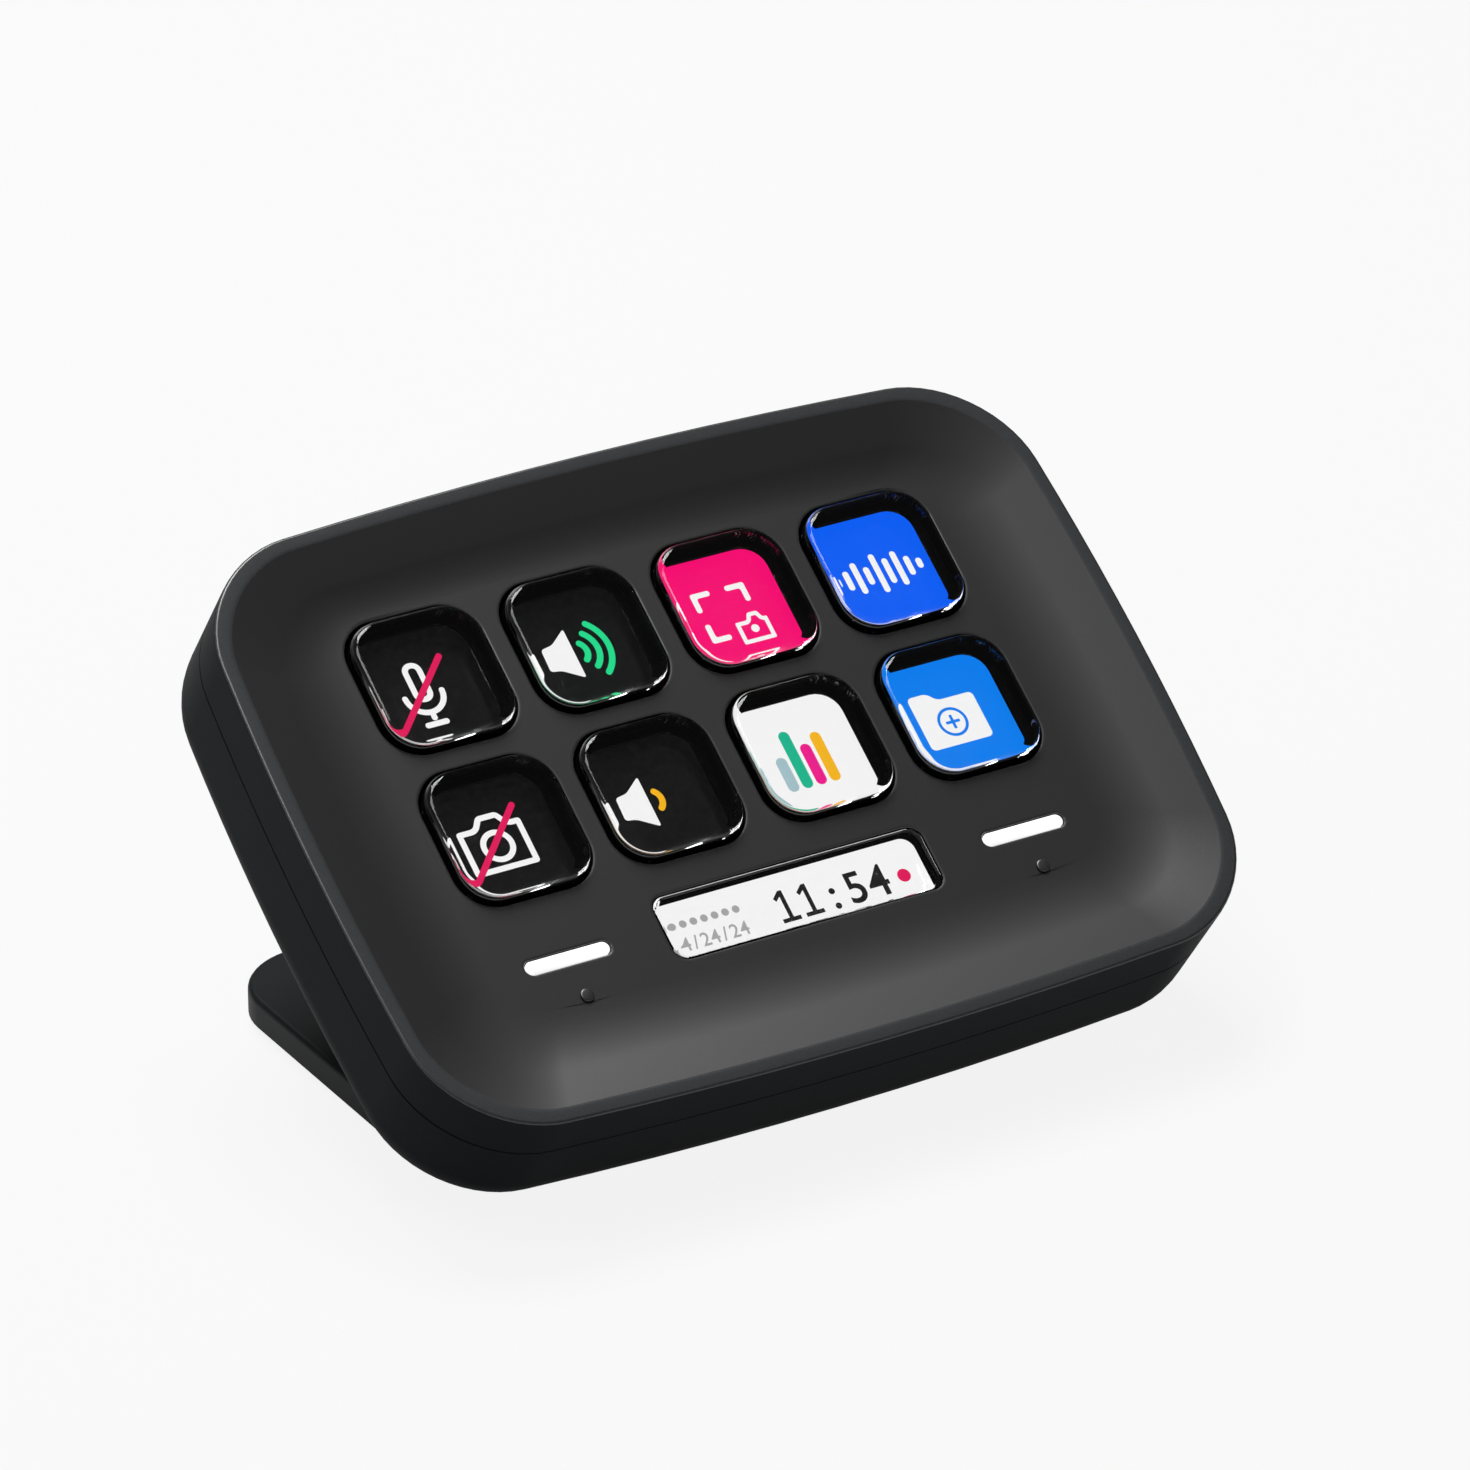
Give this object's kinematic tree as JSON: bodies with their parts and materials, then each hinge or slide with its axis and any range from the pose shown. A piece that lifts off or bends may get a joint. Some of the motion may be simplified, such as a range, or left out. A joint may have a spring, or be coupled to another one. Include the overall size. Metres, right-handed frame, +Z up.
{
  "type": "macro keypad",
  "caption": "Desk macro keypad: a dished key face leaning back on a flat foot, with clear display keys, a clear window and touch lights below them.",
  "frame": {"origin": "middle of the overall box, on the desk", "axes": "+X to the user's right, +Y away from the user, +Z up; the key face looks towards -Y and up"},
  "size_m": [0.107, 0.0727, 0.0598],
  "materials": {
    "shell": "fine matt moulded texture, dark charcoal",
    "stand": "fine matt moulded texture, charcoal",
    "rubber_pad": "matt black",
    "clear_key": "clear, polished",
    "key_skirt": "black, smooth",
    "clear_lens": "clear, polished",
    "light_guide": "milky white, translucent",
    "silicone": "matt black silicone",
    "circuit_board": "dark solder mask",
    "led": "moulded clear over a yellow phosphor",
    "display_glass": "polished",
    "backlight": "white",
    "inner_plastic": "black moulding",
    "chip": "matt black",
    "connector": "ivory",
    "flex_film": "amber film",
    "socket_steel": "plated steel",
    "screw_steel": "blackened steel"
  },
  "bodies": {
    "case": {"front_shell": "shell", "rear_shell": "shell", "stand": "stand", "foot_pad": "rubber_pad", "window_lens": "clear_lens", "touch_light_left": "light_guide", "touch_light_right": "light_guide", "key_membrane": "silicone", "contact_board": "circuit_board", "touch_leds": "led", "display_panel": "display_glass", "backlight_tray": "backlight", "inner_frame": "inner_plastic", "main_board": "circuit_board", "processor": "chip", "memory_chip": "chip", "voltage_regulator": "chip", "display_connector": "connector", "display_flex": "flex_film", "usb_c_socket": "socket_steel", "shell_screws": "screw_steel", "frame_screws": "screw_steel", "board_screws": "screw_steel", "stand_screws": "screw_steel"},
    "key_1": {"key_cap_1": "clear_key", "key_frame_1": "key_skirt"},
    "key_2": {"key_cap_2": "clear_key", "key_frame_2": "key_skirt"},
    "key_3": {"key_cap_3": "clear_key", "key_frame_3": "key_skirt"},
    "key_4": {"key_cap_4": "clear_key", "key_frame_4": "key_skirt"},
    "key_5": {"key_cap_5": "clear_key", "key_frame_5": "key_skirt"},
    "key_6": {"key_cap_6": "clear_key", "key_frame_6": "key_skirt"},
    "key_7": {"key_cap_7": "clear_key", "key_frame_7": "key_skirt"},
    "key_8": {"key_cap_8": "clear_key", "key_frame_8": "key_skirt"}
  },
  "joints": [
    {"name": "key_1_press", "type": "slide", "parent": "case", "child": "key_1", "axis": [0, 0.5793, -0.8151], "range_m": [0, 0.0008], "stiffness_N_per_m": 750},
    {"name": "key_2_press", "type": "slide", "parent": "case", "child": "key_2", "axis": [0, 0.5793, -0.8151], "range_m": [0, 0.0008], "stiffness_N_per_m": 750},
    {"name": "key_3_press", "type": "slide", "parent": "case", "child": "key_3", "axis": [0, 0.5793, -0.8151], "range_m": [0, 0.0008], "stiffness_N_per_m": 750},
    {"name": "key_4_press", "type": "slide", "parent": "case", "child": "key_4", "axis": [0, 0.5793, -0.8151], "range_m": [0, 0.0008], "stiffness_N_per_m": 750},
    {"name": "key_5_press", "type": "slide", "parent": "case", "child": "key_5", "axis": [0, 0.5793, -0.8151], "range_m": [0, 0.0008], "stiffness_N_per_m": 750},
    {"name": "key_6_press", "type": "slide", "parent": "case", "child": "key_6", "axis": [0, 0.5793, -0.8151], "range_m": [0, 0.0008], "stiffness_N_per_m": 750},
    {"name": "key_7_press", "type": "slide", "parent": "case", "child": "key_7", "axis": [0, 0.5793, -0.8151], "range_m": [0, 0.0008], "stiffness_N_per_m": 750},
    {"name": "key_8_press", "type": "slide", "parent": "case", "child": "key_8", "axis": [0, 0.5793, -0.8151], "range_m": [0, 0.0008], "stiffness_N_per_m": 750}
  ]
}
